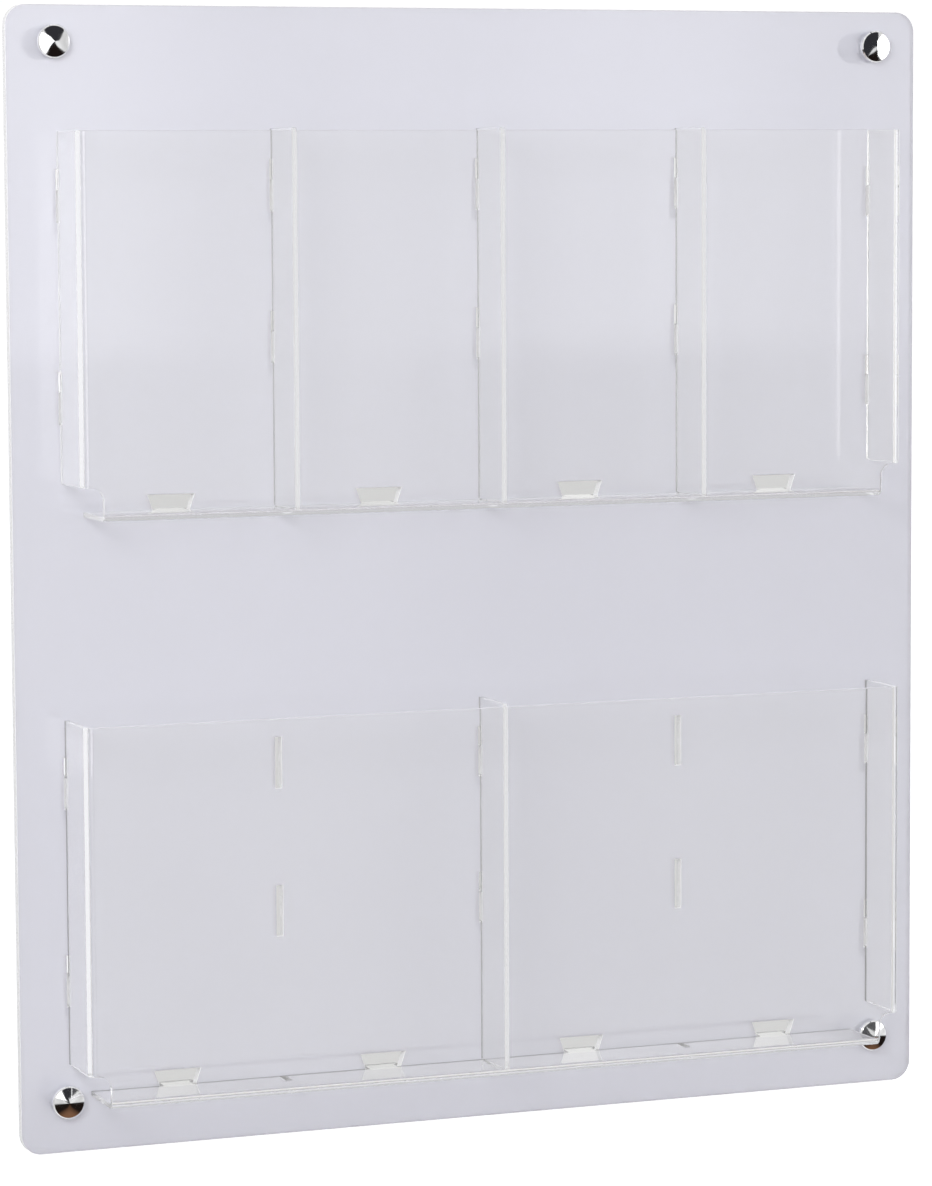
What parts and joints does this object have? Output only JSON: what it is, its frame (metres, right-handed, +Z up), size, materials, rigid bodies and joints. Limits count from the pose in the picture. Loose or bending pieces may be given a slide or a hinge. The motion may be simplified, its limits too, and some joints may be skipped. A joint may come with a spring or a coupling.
{
  "type": "brochure rack",
  "caption": "Wall brochure rack: frosted panel on metal standoffs, clear bent pockets hooked into it, lift-out dividers between compartments.",
  "frame": {"origin": "on the wall plane, behind the back panel's centre", "axes": "+X to the right seen from the front, +Z up, the front faces -Y and the wall is on the +Y side"},
  "size_m": [0.572, 0.0959, 0.66],
  "materials": {
    "frosted_acrylic": "frosted translucent acrylic sheet, satin back and smooth front",
    "clear_acrylic": "clear line-bent acrylic sheet with flame-polished edges",
    "clear_divider": "clear flat acrylic sheet with laser-cut edges",
    "polished_metal": "polished, with a fine turned grain on the caps' faces",
    "screw_steel": "zinc-plated",
    "washer_nylon": "natural translucent nylon"
  },
  "bodies": {
    "rack": {"back_panel": "frosted_acrylic", "rear_washer_top_left": "washer_nylon", "barrel_top_left": "polished_metal", "wall_screw_top_left": "screw_steel", "rear_washer_top_right": "washer_nylon", "barrel_top_right": "polished_metal", "wall_screw_top_right": "screw_steel", "rear_washer_bottom_left": "washer_nylon", "barrel_bottom_left": "polished_metal", "wall_screw_bottom_left": "screw_steel", "rear_washer_bottom_right": "washer_nylon", "barrel_bottom_right": "polished_metal", "wall_screw_bottom_right": "screw_steel"},
    "upper_pocket": {"upper_pocket": "clear_acrylic"},
    "lower_pocket": {"lower_pocket": "clear_acrylic"},
    "upper_divider_left": {"upper_divider_left": "clear_divider"},
    "upper_divider_centre": {"upper_divider_centre": "clear_divider"},
    "upper_divider_right": {"upper_divider_right": "clear_divider"},
    "lower_divider_centre": {"lower_divider_centre": "clear_divider"},
    "washer_top_left": {"front_washer_top_left": "washer_nylon"},
    "cap_top_left": {"cap_top_left": "polished_metal", "stud_top_left": "screw_steel"},
    "washer_top_right": {"front_washer_top_right": "washer_nylon"},
    "cap_top_right": {"cap_top_right": "polished_metal", "stud_top_right": "screw_steel"},
    "washer_bottom_left": {"front_washer_bottom_left": "washer_nylon"},
    "cap_bottom_left": {"cap_bottom_left": "polished_metal", "stud_bottom_left": "screw_steel"},
    "washer_bottom_right": {"front_washer_bottom_right": "washer_nylon"},
    "cap_bottom_right": {"cap_bottom_right": "polished_metal", "stud_bottom_right": "screw_steel"}
  },
  "joints": [
    {"name": "upper_pocket_lift", "type": "slide", "parent": "rack", "child": "upper_pocket", "axis": [0, 0, 1], "range_m": [0, 0.008]},
    {"name": "lower_pocket_lift", "type": "slide", "parent": "rack", "child": "lower_pocket", "axis": [0, 0, 1], "range_m": [0, 0.008]},
    {"name": "upper_divider_left_lift", "type": "slide", "parent": "upper_pocket", "child": "upper_divider_left", "axis": [0, 0, 1], "range_m": [0, 0.003]},
    {"name": "upper_divider_centre_lift", "type": "slide", "parent": "upper_pocket", "child": "upper_divider_centre", "axis": [0, 0, 1], "range_m": [0, 0.003]},
    {"name": "upper_divider_right_lift", "type": "slide", "parent": "upper_pocket", "child": "upper_divider_right", "axis": [0, 0, 1], "range_m": [0, 0.003]},
    {"name": "lower_divider_centre_lift", "type": "slide", "parent": "lower_pocket", "child": "lower_divider_centre", "axis": [0, 0, 1], "range_m": [0, 0.003]},
    {"name": "cap_top_left_travel", "type": "slide", "parent": "rack", "child": "washer_top_left", "axis": [0, -1, 0], "range_m": [0, 0.005]},
    {"name": "cap_top_left_turn", "type": "hinge", "parent": "washer_top_left", "child": "cap_top_left", "pos_m": [-0.2585, -0.0355, 0.309], "axis": [0, -1, 0], "range_deg": [0, 1440]},
    {"name": "cap_top_right_travel", "type": "slide", "parent": "rack", "child": "washer_top_right", "axis": [0, -1, 0], "range_m": [0, 0.005]},
    {"name": "cap_top_right_turn", "type": "hinge", "parent": "washer_top_right", "child": "cap_top_right", "pos_m": [0.2585, -0.0355, 0.309], "axis": [0, -1, 0], "range_deg": [0, 1440]},
    {"name": "cap_bottom_left_travel", "type": "slide", "parent": "rack", "child": "washer_bottom_left", "axis": [0, -1, 0], "range_m": [0, 0.005]},
    {"name": "cap_bottom_left_turn", "type": "hinge", "parent": "washer_bottom_left", "child": "cap_bottom_left", "pos_m": [-0.2585, -0.0355, -0.3], "axis": [0, -1, 0], "range_deg": [0, 1440]},
    {"name": "cap_bottom_right_travel", "type": "slide", "parent": "rack", "child": "washer_bottom_right", "axis": [0, -1, 0], "range_m": [0, 0.005]},
    {"name": "cap_bottom_right_turn", "type": "hinge", "parent": "washer_bottom_right", "child": "cap_bottom_right", "pos_m": [0.2585, -0.0355, -0.3], "axis": [0, -1, 0], "range_deg": [0, 1440]}
  ],
  "couplings": [
    {"joint": "cap_top_left_travel", "follows": "cap_top_left_turn", "m_per_rad": 0.00019894},
    {"joint": "cap_top_right_travel", "follows": "cap_top_right_turn", "m_per_rad": 0.00019894},
    {"joint": "cap_bottom_left_travel", "follows": "cap_bottom_left_turn", "m_per_rad": 0.00019894},
    {"joint": "cap_bottom_right_travel", "follows": "cap_bottom_right_turn", "m_per_rad": 0.00019894}
  ]
}
